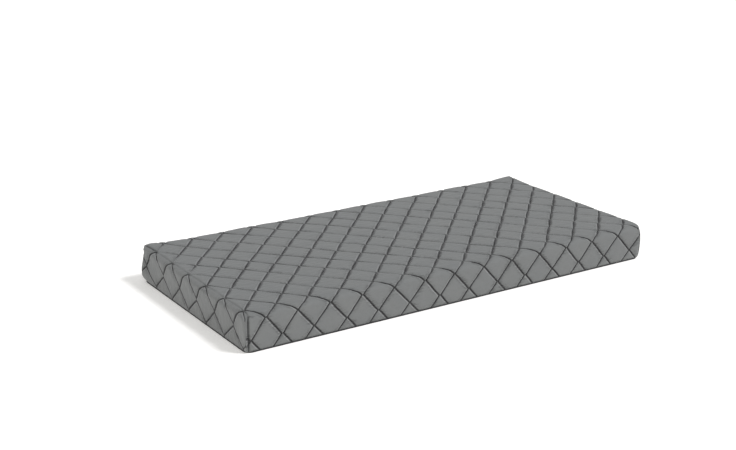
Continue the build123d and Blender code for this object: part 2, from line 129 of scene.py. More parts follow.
def blended(tree, share, first, second):
    """The output of a colour mix; colours are given as three numbers or a socket."""
    made = node(tree, "Mix", {0: share}, data_type="RGBA")
    for key, colour in ((6, first), (7, second)):
        if isinstance(colour, bpy.types.NodeSocket):
            tree.links.new(colour, made.inputs[key])
        else:
            made.inputs[key].default_value = (*colour, 1)
    return made.outputs[2]


def ramp(tree, value, low, high):
    """0 below low, 1 above high and smooth between them."""
    values = {"Value": value, "From Min": low, "From Max": high}
    made = node(tree, "MapRange", values, interpolation_type="SMOOTHSTEP")
    return made.outputs[0]


def fall(tree, value, low, high):
    """1 below low, 0 above high and smooth between them."""
    return maths(tree, "SUBTRACT", 1.0, ramp(tree, value, low, high))


def noise(tree, vector, scale, detail=2.0, roughness=0.5):
    """The output of a noise texture, from 0 to 1."""
    values = {"Vector": vector, "Scale": scale, "Detail": detail, "Roughness": roughness}
    return node(tree, "TexNoise", values).outputs["Fac"]


def stretched(tree, vector, scale):
    """The vector with its three parts multiplied by scale."""
    values = {"Vector": vector, "Scale": scale}
    return node(tree, "Mapping", values).outputs[0]


def place(tree):
    """The position in the object's own space, which is the mattress's."""
    return node(tree, "TexCoord").outputs["Object"]


def stripes(tree, vector, scale, direction):
    """The output of a sine wave texture along X, Y or Z, from 0 to 1."""
    values = {"Vector": vector, "Scale": scale, "Distortion": 0.3, "Detail": 0.0}
    return node(tree, "TexWave", values, bands_direction=direction).outputs["Fac"]


def new_material(name, **sockets):
    """A material and its tree; its shader's sockets are set by name, _ for a space."""
    material = bpy.data.materials.new(name)
    material.use_nodes = True
    tree = material.node_tree
    for key, value in sockets.items():
        tree.nodes["Principled BSDF"].inputs[key.replace("_", " ")].default_value = value
    return material, tree


def finish_material(material, colour, *bumps, roughness=None):
    """Links the colour and a chain of bumps, each a height from 0 to 1 and its depth."""
    tree = material.node_tree
    shader = tree.nodes["Principled BSDF"]
    tree.links.new(colour, shader.inputs["Base Color"])
    if roughness:
        tree.links.new(roughness, shader.inputs["Roughness"])
    values = {"Strength": 1.0}
    for height, depth in bumps:
        values.update({"Height": height, "Distance": depth})
        normal = node(tree, "Bump", values).outputs[0]
        values["Normal"] = normal
    tree.links.new(normal, shader.inputs["Normal"])
    return material


def weave(tree, vector, pitch, directions="XY"):
    """Over-and-under threads square to these directions, as a height from 0 to 1."""
    scale = 1 / pitch / math.pi / 2
    return product(tree, *[stripes(tree, vector, scale, axis) for axis in directions])


def attribute(tree, name, output="Fac"):
    """One of the values that the cover's mesh holds at its points."""
    return node(tree, "Attribute", attribute_name=name).outputs[output]


def microfibre():
    """The cover's smooth grey microfibre, puckered beside the stitches, with painted shade and a painted
    highlight along them.
    """
    finish = {"Roughness": 0.72, "Sheen_Weight": 0.20, "Sheen_Roughness": 0.45}
    material, tree = new_material("grey_microfibre", Specular_IOR_Level=0.30, **finish)
    flat = attribute(tree, "flat", "Vector")
    quilting = attribute(tree, "quilting", "Vector")
    tension = attribute(tree, "tension")
    fold = attribute(tree, "fold")
    lit = attribute(tree, "lit")
    stitch_distance = node(tree, "SeparateXYZ", {"Vector": quilting}).outputs[0]

    # cloudy grey with a brushed nap
    cloudy = noise(tree, flat, 7.0, 3.0)
    nap = noise(tree, stretched(tree, flat, (60.0, 150.0, 1.0)), 1.0, 3.0, 0.6)
    fibres = noise(tree, flat, 900.0, 2.0, 0.6)
    colour = blended(tree, cloudy, (0.143, 0.151, 0.153), (0.170, 0.174, 0.169))
    colour = blended(tree, product(tree, nap, 0.30), colour, (0.205, 0.205, 0.205))
    colour = blended(tree, product(tree, fibres, 0.16), colour, (0.12, 0.12, 0.125))

    # a painted highlight on one side of each stitch line, and painted shade along it
    apparent = maths(tree, "DIVIDE", stitch_distance, tension)
    painted_highlight = product(tree, fall(tree, apparent, 0.0055, 0.0095), lit, 0.42)
    colour = blended(tree, painted_highlight, colour, (0.36, 0.36, 0.36))
    # painted shade in each stitch groove, deepened in the folds
    painted_crease_shade = fall(tree, apparent, 0.0018, 0.0056)
    painted_crease_shade = product(tree, painted_crease_shade, maths(tree, "MINIMUM", tension, 1.0))
    painted_crease_shade = maths(tree, "MAXIMUM", painted_crease_shade, product(tree, fold, fold))
    colour = blended(tree, product(tree, painted_crease_shade, 0.94), colour, (0.02, 0.02, 0.021))

    # short wrinkles that run out from the stitches, in patches, with painted shade in their hollows
    patches = ramp(tree, noise(tree, flat, 11.0, 1.0), 0.42, 0.60)
    near = fall(tree, stitch_distance, 0.004, 0.024)
    strength = product(tree, near, maths(tree, "ADD", 0.35, patches))
    drawn = noise(tree, stretched(tree, quilting, (30.0, 115.0, 1.0)), 1.0, 1.0)
    ridge = maths(tree, "ABSOLUTE", maths(tree, "SUBTRACT", drawn, 0.5))
    wrinkle = product(tree, fall(tree, ridge, 0.0, 0.10), strength)
    colour = blended(tree, product(tree, wrinkle, 0.32), colour, (0.04, 0.04, 0.04))

    ripples = noise(tree, stretched(tree, flat, (26.0, 44.0, 1.0)), 1.0, 2.0)
    cloth = weave(tree, flat, 0.0011)
    hollow = maths(tree, "SUBTRACT", 1.0, wrinkle)
    bumps = [(hollow, 0.0016), (ripples, 0.0030), (fibres, 0.00010), (cloth, 0.00008)]
    return finish_material(material, colour, *bumps)


def thread_material():
    """Dark grey polyester sewing thread with its twist."""
    material, tree = new_material("dark_thread", Roughness=0.55, Sheen_Weight=0.15, Specular_IOR_Level=0.4)
    twist = noise(tree, stretched(tree, place(tree), (900.0, 2400.0, 900.0)), 1.0, 1.0)
    colour = blended(tree, twist, (0.055, 0.056, 0.058), (0.115, 0.116, 0.120))
    return finish_material(material, colour, (twist, 0.0001))


def plain_cloth(name, dark, light, pitch):
    """A woven cloth: threads over and under, lint, and a little cloudiness."""
    material, tree = new_material(name, Roughness=0.85, Sheen_Weight=0.15, Specular_IOR_Level=0.25)
    position = place(tree)
    threads = weave(tree, position, pitch, "XYZ")
    lint = noise(tree, position, 700.0, 2.0)
    cloudy = noise(tree, position, 12.0, 2.0)
    # darker between the threads as painted shade, mixed with a random cloudiness
    shade = product(tree, maths(tree, "ADD", threads, cloudy), 0.5)
    colour = blended(tree, shade, dark, light)
    return finish_material(material, colour, (threads, 0.00015), (lint, 0.000075))


def fluff(name, dark, light, scale, depth):
    """Felt, wadding and non-woven cloth: tangled fibres in no particular direction."""
    material, tree = new_material(name, Roughness=0.95, Sheen_Weight=0.25, Specular_IOR_Level=0.15)
    position = place(tree)
    fibres = noise(tree, position, scale, 4.0, 0.7)
    cloudy = noise(tree, position, scale / 30, 2.0)
    colour = blended(tree, fibres, dark, light)
    colour = blended(tree, product(tree, cloudy, 0.3), colour, light)
    return finish_material(material, colour, (fibres, depth))


def foam(name, dark, light, cell):
    """Open-cell foam: small round cells with thin walls between them."""
    material, tree = new_material(name, Roughness=0.9, Specular_IOR_Level=0.2, Subsurface_Weight=0.1)
    position = place(tree)
    cells = node(tree, "TexVoronoi", {"Vector": position, "Scale": 1 / cell})
    walls = ramp(tree, cells.outputs["Distance"], 0.15, 0.65)
    cloudy = noise(tree, position, 9.0, 3.0)
    # the cells' hollows are painted darker than their walls: painted shade
    colour = blended(tree, walls, dark, light)
    colour = blended(tree, product(tree, cloudy, 0.25), colour, dark)
    return finish_material(material, colour, (walls, cell / 3))


def knit():
    """The inner sock's fine rib knit."""
    material, tree = new_material("white_knit", Roughness=0.9, Sheen_Weight=0.2, Specular_IOR_Level=0.2)
    position = place(tree)
    ribs = stripes(tree, position, 90.0, "X")
    loops = stripes(tree, position, 140.0, "DIAGONAL")
    loop_height = maths(tree, "ADD", 0.6, product(tree, loops, 0.4))
    height = product(tree, ribs, loop_height)
    # the hollows between the ribs and loops are painted darker: painted shade
    colour = blended(tree, height, (0.62, 0.62, 0.60), (0.86, 0.86, 0.84))
    return finish_material(material, colour, (height, 0.0003))


def grip_cloth():
    """The underside's dark cloth with its grid of raised rubber dots."""
    material, tree = new_material("non_slip_cloth", Roughness=0.8, Sheen_Weight=0.1, Specular_IOR_Level=0.3)
    position = place(tree)
    parts = node(tree, "SeparateXYZ", {"Vector": position})
    dot_pitch = 0.008
    squares = []
    for axis in (0, 1):
        steps = maths(tree, "DIVIDE", parts.outputs[axis], dot_pitch)
        off = maths(tree, "SUBTRACT", maths(tree, "FRACT", steps), 0.5)
        squares.append(product(tree, off, off))
    dots = fall(tree, maths(tree, "SQRT", maths(tree, "ADD", *squares)), 0.13, 0.17)
    threads = weave(tree, position, 0.0014)
    cloudy = noise(tree, position, 14.0, 3.0)
    colour = blended(tree, cloudy, (0.030, 0.031, 0.034), (0.048, 0.049, 0.052))
    # the raised threads are painted lighter than the hollows between them: painted shade
    colour = blended(tree, product(tree, threads, 0.4), colour, (0.075, 0.076, 0.080))
    colour = blended(tree, dots, colour, (0.012, 0.012, 0.013))
    roughness = maths(tree, "SUBTRACT", 0.85, product(tree, dots, 0.40))
    return finish_material(material, colour, (dots, 0.0005), (threads, 0.00015), roughness=roughness)


def zip_tape_cloth():
    """Zip tape: a close herringbone of ribs running along it."""
    material, tree = new_material("zip_tape_cloth", Roughness=0.8, Sheen_Weight=0.1, Specular_IOR_Level=0.3)
    position = place(tree)
    ribs = stripes(tree, position, 110.0, "Z")
    slants = stripes(tree, position, 190.0, "DIAGONAL")
    height = product(tree, ribs, slants)
    # the hollows between the ribs are painted darker: painted shade
    colour = blended(tree, height, (0.020, 0.020, 0.022), (0.052, 0.053, 0.056))
    return finish_material(material, colour, (ribs, 0.0002), (slants, 0.0001))


def nylon():
    """The zip's dark, slightly shiny teeth."""
    material, tree = new_material("dark_nylon", Roughness=0.35, Specular_IOR_Level=0.5)
    scuffs = noise(tree, place(tree), 350.0, 3.0)
    colour = blended(tree, scuffs, (0.012, 0.012, 0.013), (0.030, 0.030, 0.032))
    return finish_material(material, colour, (scuffs, 0.00003))


def zip_metal():
    """Dull nickel plate with fine scratches."""
    material, tree = new_material("nickel_plate", Metallic=1.0, Roughness=0.32)
    position = place(tree)
    scratches = noise(tree, stretched(tree, position, (300.0, 300.0, 4000.0)), 1.0, 3.0)
    spots = noise(tree, position, 500.0, 3.0)
    colour = blended(tree, spots, (0.44, 0.45, 0.47), (0.60, 0.60, 0.61))
    roughness = maths(tree, "ADD", 0.24, product(tree, scratches, 0.22))
    return finish_material(material, colour, (scratches, 0.00002), roughness=roughness)


def satin_label():
    """Blank white satin ribbon."""
    material, tree = new_material("white_satin", Roughness=0.42, Sheen_Weight=0.2, Specular_IOR_Level=0.5)
    position = place(tree)
    threads = stripes(tree, position, 300.0, "Z")
    cloudy = noise(tree, position, 60.0, 2.0)
    colour = blended(tree, cloudy, (0.74, 0.74, 0.72), (0.84, 0.84, 0.83))
    return finish_material(material, colour, (threads, 0.00006))


MICROFIBRE = microfibre()
THREAD = thread_material()
PIPING_CLOTH = plain_cloth("dark_piping", (0.018, 0.018, 0.020), (0.060, 0.061, 0.065), 0.0009)
BINDING_CLOTH = plain_cloth("white_binding", (0.50, 0.50, 0.49), (0.72, 0.72, 0.70), 0.0012)
WADDING_FLUFF = fluff("polyester_wadding", (0.66, 0.66, 0.64), (0.90, 0.90, 0.88), 260.0, 0.0012)
BACKING_FLEECE = fluff("non_woven_backing", (0.55, 0.55, 0.54), (0.78, 0.78, 0.77), 600.0, 0.0003)
LINING_FELT = fluff("grey_felt", (0.36, 0.36, 0.35), (0.58, 0.58, 0.57), 450.0, 0.0005)
CORD_COTTON = fluff("cotton_cord", (0.55, 0.55, 0.52), (0.84, 0.84, 0.80), 900.0, 0.0003)
MEMORY_FOAM = foam("memory_foam", (0.62, 0.52, 0.30), (0.80, 0.70, 0.46), 0.0011)
TRANSITION_FOAM = foam("transition_foam", (0.28, 0.44, 0.56), (0.42, 0.58, 0.68), 0.0015)
SUPPORT_FOAM = foam("support_foam", (0.62, 0.62, 0.59), (0.84, 0.84, 0.81), 0.0020)
KNIT = knit()
GRIP_CLOTH = grip_cloth()
TAPE_CLOTH = zip_tape_cloth()
NYLON = nylon()
METAL = zip_metal()
SATIN = satin_label()


# ---- Making pieces ----


def new_object(name, data):
    """A new object of this data, in the scene."""
    made = bpy.data.objects.new(name, data)
    scene.collection.objects.link(made)
    return made


def finish_piece(mesh, material, slot, *replaces):
    """Makes the object of a ready mesh, on the mattress, in place of these CAD nodes."""
    mesh.shade_smooth()
    mesh.materials.append(material)
    piece = new_object(mesh.name, mesh)
    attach(piece, "mattress")
    if replaces:
        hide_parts(*replaces)
    return piece


def make_piece(name, points, faces, material, slot, *replaces):
    """A new smooth piece of these points and faces."""
    mesh = bpy.data.meshes.new(name)
    mesh.from_pydata(np.asarray(points).tolist(), [], np.asarray(faces).tolist())
    return finish_piece(mesh, material, slot, *replaces)


def grid_faces(rows, columns, close_rows=False, close_columns=False):
    """The quads of a grid of points, optionally joined round either way."""
    row = np.arange(rows if close_rows else rows - 1)
    column = np.arange(columns if close_columns else columns - 1)
    right = (column + 1) % columns
    low, high = row[:, None] * columns, (row[:, None] + 1) % rows * columns
    quads = np.stack([low + column, low + right, high + right, high + column], -1)
    return quads.reshape(-1, 4)


def ring_angles(sides):
    """The angles of a ring's points."""
    return np.arange(sides) * 2 * math.pi / sides


def tubes(all_paths, closed=False):
    """Points and faces of tubes, each given as the paths that its rings' points follow."""
    points, faces = [], []
    for paths in all_paths:
        quads = grid_faces(len(paths[0]), len(paths), close_rows=closed, close_columns=True)
        faces.append(quads + sum(map(len, points)))
        points.append(np.stack(paths, 1).reshape(-1, 3))
    return np.concatenate(points), np.concatenate(faces)


def closed_sheet(outer, inner):
    """Points and faces of a thin sheet, from grids of points on its two faces."""
    rows, columns = outer.shape[:2]
    count = rows * columns
    faces = grid_faces(rows, columns)
    index = np.arange(count).reshape(rows, columns)
    rim = np.concatenate([index[0], index[1:, -1], index[-1, -2::-1], index[-2:0:-1, 0]])
    following = np.roll(rim, -1)
    sides = np.stack([rim, following, following + count, rim + count], -1)
    points = np.concatenate([outer.reshape(-1, 3), inner.reshape(-1, 3)])
    return points, np.concatenate([faces[:, ::-1], faces + count, sides])


# ---- The quilted cover, laid out flat ----


def triangle_wave(t):
    """1 at every even number, -1 at every odd one, and straight between them."""
    return 1 - 2 * np.abs((t + 1) % 2 - 1)


# At the left end the cover is pulled over the edge: where along u the pattern's own
# distances from the end come to lie, and how far its rows slip towards the front.
PULLED_LOW = -0.070
PULLED_EDGE = 0.021
END_U = [-1.0, PULLED_LOW, PULLED_EDGE, 0.100, 0.200, 0.300, 3.0]
END_PATTERN = [-1.0, PULLED_LOW, 0.000, 0.087, 0.194, 0.300, 3.0]
END_SLIP = 0.024


def end_slip(u):
    """How far the pattern slips towards the front here, on the left end's wall."""
    return END_SLIP * np.interp(u, [PULLED_LOW, PULLED_EDGE], [1.0, 0.0])


def to_pattern(u, v):
    """The pattern's own coordinates of a laid-out point."""
    return np.interp(u, END_U, END_PATTERN), v + end_slip(u)


def from_pattern(u, v):
    """The laid-out point at the pattern's own coordinates."""
    u = np.interp(u, END_PATTERN, END_U)
    return u, v - end_slip(u)


def turns_at(v):
    """How many turns the zigzags have made by this v of the pattern."""
    return (v - FIRST_TURN) / TURN_PITCH


def line_at(line, v):
    """Where along u, in the pattern's own coordinates, a zigzag line is at this v."""
    sign = 1 - 2 * (line % 2)
    swing = (LINE_PITCH - TURN_GAP) / 2
    wobble = 0.0010 * np.sin(v * 23 + line * 1.9) + 0.0007 * np.sin(v * 61 + line * 4.3)
    wobble += 0.0005 * np.sin(v * 170 + line * 2.7)
    return LINE_PITCH * (line + 0.5) + sign * swing * triangle_wave(turns_at(v)) + wobble


def stitch_distances(u, v):
    """The stitch line on the left, and distances square to it and to the next one."""
    u, v = to_pattern(u, v)
    line = np.floor(u / LINE_PITCH)
    line = np.where(u < line_at(line, v), line - 1, line)
    left = (u - line_at(line, v)) * SQUARE
    right = (line_at(line + 1, v) - u) * SQUARE
    return line, np.maximum(left, 0), np.maximum(right, 0)


def bell(distance, width):
    """1 at no distance, falling to 0 beyond about twice the width."""
    return np.exp(-((distance / width) ** 2))


def corner_distances(u, v):
    """Distances in from the nearest end and from the nearest long side, laid out flat."""
    return np.minimum(u, LENGTH - u), np.minimum(v, WIDTH - v)


def wall_share(u, v):
    """1 on the walls, falling to 0 from the edges of the top inwards."""
    from_edge = np.minimum(*corner_distances(u, v))
    return bell(np.maximum(from_edge, 0), 0.030)


def stitch_tension(u, v, line):
    """How hard a line's stitches pull. Across the top one slant of lines is slack."""
    turn = turns_at(to_pattern(u, v)[1])
    from_turn = np.abs(turn - np.round(turn)) * TURN_PITCH
    tight_slant = (np.floor(turn) + line) % 2
    # beside some turns the slack slant is still drawn into a short pucker, which the painted shade along
    # the lines darkens
    pucker = (0.5 + 0.5 * np.sin(line * 12.9 + np.round(turn) * 7.3)) ** 2
    reach = np.where(tight_slant == 1, 0.008, 0.004 + 0.018 * pucker)
    share = 0.5 + (tight_slant - 0.5) * (1 - np.exp(-from_turn / reach))
    on_wall = wall_share(u, v)
    slack = 0.30 - 0.24 * np.clip(u / LENGTH, 0, 1) + 0.06 * waves(u, v, 7, 0.10)
    slack += (1 - slack) * on_wall
    tight = 1 - 0.15 * on_wall
    # beside the back half of the left end's edge the lines stop short of it
    loose = np.clip((u - PULLED_EDGE) / 0.004, 0, 1) * np.clip((0.072 - u) / 0.018, 0, 1)
    loose *= np.clip((v - 0.40) / 0.08, 0, 1)
    return (slack + (tight - slack) * share) * (1 - 0.85 * loose)


def unit(vectors):
    """The vectors, each made 1 long."""
    return vectors / np.linalg.norm(vectors, axis=-1, keepdims=True)


def box_point(u, v):
    """The point of a sharp-edged block that the laid-out point folds onto."""
    x = np.clip(u, 0, LENGTH) - LENGTH / 2
    y = np.clip(v, 0, WIDTH) - WIDTH / 2
    drop_u = np.maximum(np.maximum(-u, u - LENGTH), 0)
    drop_v = np.maximum(np.maximum(-v, v - WIDTH), 0)
    return np.stack([x, y, HEIGHT - drop_u - drop_v], -1)


def edge_powers(out):
    """How squarely the outside turns here: 2 is round, and more is more sharply creased."""
    # the front's and the left end's edges are softly round, the others are creased
    level = out[..., 0] ** 2 + out[..., 1] ** 2 + 1e-9
    end_share = np.where(out[..., 0] > 0, out[..., 0] ** 2 / level, 0)
    back_share = np.where(out[..., 1] > 0, out[..., 1] ** 2 / level, 0)
    on_edge = np.clip(6 * np.abs(out[..., 2]), 0, 1)
    away = np.where(out[..., 1] > 0, 1, 3)
    power = 2 + (8.0 * end_share**away + 5.0 * back_share**away) * on_edge
    # and of the upright corners only the back left one is round
    both = 4 * out[..., 0] ** 2 * out[..., 1] ** 2 / level**2
    tight = (out[..., 0] > 0) | (out[..., 1] < 0)
    return power + np.where(tight, 2.5 * both * (1 - on_edge), 0)


def wrap(u, v):
    """Points on the outside of the mattress, and which way is out of its soft core."""
    sharp = box_point(u, v)
    radii = np.array([CORNER_RADIUS, CORNER_RADIUS, EDGE_RADIUS])
    core_high = np.array([LENGTH / 2, WIDTH / 2, HEIGHT]) - radii
    core_low = np.array([-core_high[0], -core_high[1], -1.0])
    core = np.clip(sharp, core_low, core_high)
    out = unit((sharp - core) / radii)
    normal = unit(out / radii)
    power = edge_powers(out)[..., None]
    out /= np.sum(np.abs(out) ** power, axis=-1, keepdims=True) ** (1 / power)
    return core + out * radii, normal


def seam_distance(u, v):
    """The distance to the nearest sewn corner, which ends at the top of the walls."""
    from_end, from_side = corner_distances(u, v)
    return np.hypot(np.maximum(from_end, 0), np.maximum(from_side, 0))


# Folds in the laid-out cover: two ends, half width and strength. Four run down the seams
# of the upright corners, the others are pressed into the left end's edge and corners.
FROM_SEAM = 0.0085
RIGHT_FOLD = LENGTH - FROM_SEAM
FOLDS = [
    ((0.0100, -0.004), (0.0090, -WALL), 0.0058, 1.0),
    ((RIGHT_FOLD, -0.010), (RIGHT_FOLD, -WALL), 0.0022, 0.6),
    ((FROM_SEAM, WIDTH + 0.004), (FROM_SEAM, WIDTH + WALL), 0.0026, 0.9),
    ((RIGHT_FOLD, WIDTH + 0.004), (RIGHT_FOLD, WIDTH + WALL), 0.0026, 0.9),
    ((0.008, WIDTH - 0.010), (0.020, WIDTH - 0.074), 0.0034, 1.0),
    ((PULLED_EDGE, 0.050), (PULLED_EDGE, WIDTH - 0.090), 0.0016, 0.38),
    ((0.012, -0.006), (0.034, -0.012), 0.0028, 0.7),
    ((0.010, 0.010), (0.022, 0.028), 0.0024, 0.5),
]


def puckers():
    """A short fold wherever two stitch lines meet beside an end's top edge."""
    made = []
    for turn in range(math.ceil(turns_at(WIDTH))):
        v = FIRST_TURN + TURN_PITCH * turn
        u = PULLED_EDGE if turn % 2 else LENGTH + 0.010
        if 0.03 < v < WIDTH - 0.03:
            made.append(((u - 0.002, v - 0.012), (u + 0.001, v + 0.013), 0.0020, 0.8))
    return made


FOLDS += puckers()


def folds(u, v):
    """How deep in a fold a laid-out point lies, from 0 to 1."""
    deepest = np.zeros_like(u)
    for (u0, v0), (u1, v1), width, strength in FOLDS:
        length = math.hypot(u1 - u0, v1 - v0)
        along = ((u - u0) * (u1 - u0) + (v - v0) * (v1 - v0)) / length
        aside = ((u - u0) * (v1 - v0) - (v - v0) * (u1 - u0)) / length
        past = np.maximum(np.maximum(-along, along - length), 0)
        depth = strength * np.exp(-((aside / width) ** 2) - (past / 0.005) ** 2)
        deepest = np.maximum(deepest, depth)
    return deepest * (1 - bell(seam_distance(u, v), 0.004))


# The four corners, laid out flat: how far the top of each is drawn in, over what reach,
# how much higher it stands, and how far the wall beside it bulges low down
CORNERS = {
    (0.0, 0.0): (0.004, 0.016, 0.000, 0.000),
    (LENGTH, 0.0): (0.003, 0.030, 0.000, 0.000),
    (0.0, WIDTH): (0.006, 0.024, 0.010, 0.013),
    (LENGTH, WIDTH): (0.000, 0.020, 0.006, 0.000),
}


def corner_shape(u, v):
    """How far the cover is drawn in, stands higher and bulges here for its corners."""
    drawn, raised, bulge = (np.zeros_like(u) for _ in range(3))
    for (corner_u, corner_v), (depth, reach, rise, out) in CORNERS.items():
        away = np.hypot(u - corner_u, v - corner_v)
        drawn += depth * bell(away, reach)
        raised += rise * bell(away, 0.080)
        in_u = np.maximum(u if corner_u == 0 else LENGTH - u, 0)
        in_v = np.maximum(v if corner_v == 0 else WIDTH - v, 0)
        bulge += out * bell(np.hypot(in_u, in_v), 0.090)
    return drawn, raised, bulge


def raise_corners(point, u, v):
    """Lifts the points near the raised corners, less towards the underside."""
    raised = corner_shape(u, v)[1]
    point[..., 2] += raised * np.clip(point[..., 2] / HEIGHT, 0, 1)
    return point


def in_opening(u, v):
    """Whether a laid-out point lies in the zip's opening."""
    return (np.abs(u - LENGTH / 2) < OPENING_HALF) & (v > OPENING_V)


def opening_distance(u, v):
    """The distance to the zip's opening in the back wall; large on the other sides."""
    height = box_point(u, v)[..., 2]
    beside = np.maximum(np.abs(u - LENGTH / 2) - OPENING_HALF, 0)
    distance = np.hypot(beside, np.maximum(height - OPENING_TOP, 0))
    return np.where(v > WIDTH, distance, 1.0)


def waves(u, v, seed, size):
    """A smooth, repeatable unevenness of about -1 to 1 with features of about this size."""
    count = 14
    rng = np.random.default_rng(seed)
    angles = rng.uniform(0, 2 * math.pi, count)
    sizes = size * rng.uniform(0.7, 1.6, count)
    phases = rng.uniform(0, 2 * math.pi, count)
    total = np.zeros_like(u)
    for angle, wave, phase in zip(angles, sizes, phases):
        along = u * math.cos(angle) + v * math.sin(angle)
        total += np.sin(2 * math.pi * along / wave + phase)
    return total / math.sqrt(count) / 1.5


def pillow_height(u, v):
    """How far the pillow between two stitch lines stands out from their level here."""
    line, left, right = stitch_distances(u, v)
    width = GROOVE_WIDTH * (1 + 0.25 * waves(u, v, 2, 0.03))
    slack_left = SLACK_FILL * (1 - stitch_tension(u, v, line))
    slack_right = SLACK_FILL * (1 - stitch_tension(u, v, line + 1))
    rise = 1 - (1 - slack_left) * np.exp(-left / width)
    rise *= 1 - (1 - slack_right) * np.exp(-right / width)
    crown = np.minimum(left, right) / (LINE_PITCH * SQUARE)
    height = PILLOW * rise * (0.90 + 0.10 * crown + 0.06 * waves(u, v, 3, 0.09))
    return height + 0.0012 * waves(u, v, 5, 0.35)


def puff(u, v):
    """How far the cover stands out from the level of its stitches."""
    height = pillow_height(u, v)
    # the sewn corners are rolled: full and round below, drawn in at the top
    from_seam = seam_distance(u, v)
    roll = bell(from_seam, 0.014)
    height = height * (1 - roll) + (GROOVE_INSET + 0.0010) * roll
    drop = HEIGHT - box_point(u, v)[..., 2]
    share = np.clip(drop / WALL, 0, 1)
    drawn, _, bulge = corner_shape(u, v)
    height += 0.0055 * np.sin(math.pi * share) * bell(from_seam, 0.035)
    height += bulge * np.sin(math.pi * share**2.6) - drawn
    height = np.maximum(height - FOLD_DEPTH * folds(u, v), FOLD_FLOOR)
    # across the creased edges the stitches don't pull as deep
    from_edge = np.minimum(np.abs(LENGTH - u), np.abs(WIDTH - v))
    height = np.maximum(height, CREASE_RISE * bell(from_edge, 0.009))
    # towards the piping and round the zip the cover draws in to its sewn edge
    above_piping = np.maximum(box_point(u, v)[..., 2] - COVER_BOTTOM, 0)
    hem = np.exp(-above_piping / 0.006)
    height = height * (1 - hem) + (GROOVE_INSET - HEM_DEPTH) * hem
    opening = np.exp(-opening_distance(u, v) / 0.006)
    height = height * (1 - opening) + (GROOVE_INSET - ZIP_HEM_DEPTH) * opening
    return height


def cover_surface(u, v, lift=0.0):
    """Points and normals on the finished cover; lift raises them off it."""
    point, normal = wrap(u, v)
    point = point + normal * (puff(u, v) - GROOVE_INSET + lift)[..., None]
    return raise_corners(point, u, v), normal


def flat_grid(column_shares, row_shares):
    """The laid-out cover's mesh: columns follow the stitch lines, rows their turns."""
    first_row = math.floor(turns_at(-WALL))
    last_row = math.ceil(turns_at(WIDTH + WALL + END_SLIP))
    turns = FIRST_TURN + TURN_PITCH * np.arange(first_row, last_row)
    v = (turns[:, None] + TURN_PITCH * np.array(row_shares)).ravel()
    first_line = math.floor(-WALL / LINE_PITCH) - 1
    last_line = math.ceil((LENGTH + WALL) / LINE_PITCH) + 1
    columns = []
    for line in range(first_line, last_line):
        here = line_at(line, v)
        gap = line_at(line + 1, v) - here
        columns += [here + share * gap for share in column_shares]
    u = np.stack(columns, -1)
    return from_pattern(u, np.repeat(v[:, None], u.shape[1], axis=1))


def flat_cover(column_shares, row_shares, fine=True):
    """The cover laid out flat as a bmesh: a cross with a notch for the zip."""
    u, v = flat_grid(column_shares, row_shares)
    points = np.stack([u, v, np.zeros_like(u)], -1).reshape(-1, 3)
    flat = bpy.data.meshes.new("flat_cover")
    flat.from_pydata(points.tolist(), [], grid_faces(*u.shape).tolist())
    bm = bmesh.new()
    bm.from_mesh(flat)
    bpy.data.meshes.remove(flat)

    def cut(axis, at, trim=0):
        """Cuts across u or v; a trim of -1 or 1 drops what lies below or above."""
        position, direction = [0, 0, 0], [0, 0, 0]
        position[axis] = at
        direction[axis] = trim or 1
        bmesh.ops.bisect_plane(
            bm,
            geom=bm.verts[:] + bm.edges[:] + bm.faces[:],
            dist=1e-5,
            plane_co=position,
            plane_no=direction,
            clear_outer=bool(trim),
        )

    top = [(0, LENGTH), (1, WIDTH)]
    for axis, size in top:
        cut(axis, -WALL, trim=-1)
        cut(axis, size + WALL, trim=1)
    # the same cuts beside all four edges, so that the walls meet exactly at the corners
    steps = (0.003, 0.006, 0.009, 0.013, 0.018, 0.024) if fine else ()
    for step in [0, *steps, *[-step for step in steps]]:
        for axis, size in top:
            cut(axis, step)
            cut(axis, size - step)
    cut(0, LENGTH / 2 - OPENING_HALF)
    cut(0, LENGTH / 2 + OPENING_HALF)
    cut(1, OPENING_V)

    unwanted = []
    for face in bm.faces:
        middle = face.calc_center_median()
        past_corner = not 0 <= middle.x <= LENGTH and not 0 <= middle.y <= WIDTH
        if past_corner or in_opening(middle.x, middle.y):
            unwanted.append(face)
    bmesh.ops.delete(bm, geom=unwanted, context="FACES")
    return bm


def mirrored_shares(half):
    """Shares from 0 up to a half, repeated backwards up to but not counting 1."""
    return [*half, 0.5, *[1 - share for share in half[:0:-1]]]


def quilted_cover():
    """The face fabric, drawn down at its stitches, with its edges turned in."""
    bm = flat_cover(
        mirrored_shares([0, 0.012, 0.030, 0.056, 0.095, 0.155, 0.25, 0.37]),
        mirrored_shares([0, 0.035, 0.09, 0.18, 0.32]),
    )
    rim = [edge for edge in bm.edges if edge.is_boundary]
    turned = bmesh.ops.extrude_edge_only(bm, edges=rim)["geom"]
    inner = [item for item in turned if isinstance(item, bmesh.types.BMVert)]
    bm.verts.index_update()
    turned_in = np.zeros(len(bm.verts), bool)
    turned_in[[vert.index for vert in inner]] = True
    flat = np.array([vert.co for vert in bm.verts])
    u, v = flat[:, :2].T
    point, normal = cover_surface(u, v)
    outside, _ = wrap(u, v)
    # the edge is turned in as deep as this, and less round the zip
    depth = np.where(opening_distance(u, v) < 0.001, 0.0067, 0.0092)[:, None]
    point = np.where(turned_in[:, None], outside - normal * depth, point)
    for vert, where in zip(bm.verts, point):
        vert.co = where
    mesh = bpy.data.meshes.new("quilted_cover")
    bm.to_mesh(mesh)
    bm.free()
    add_cover_values(mesh, flat)
    piece = finish_piece(mesh, MICROFIBRE, "quilted_fabric", "cover_face_fabric")


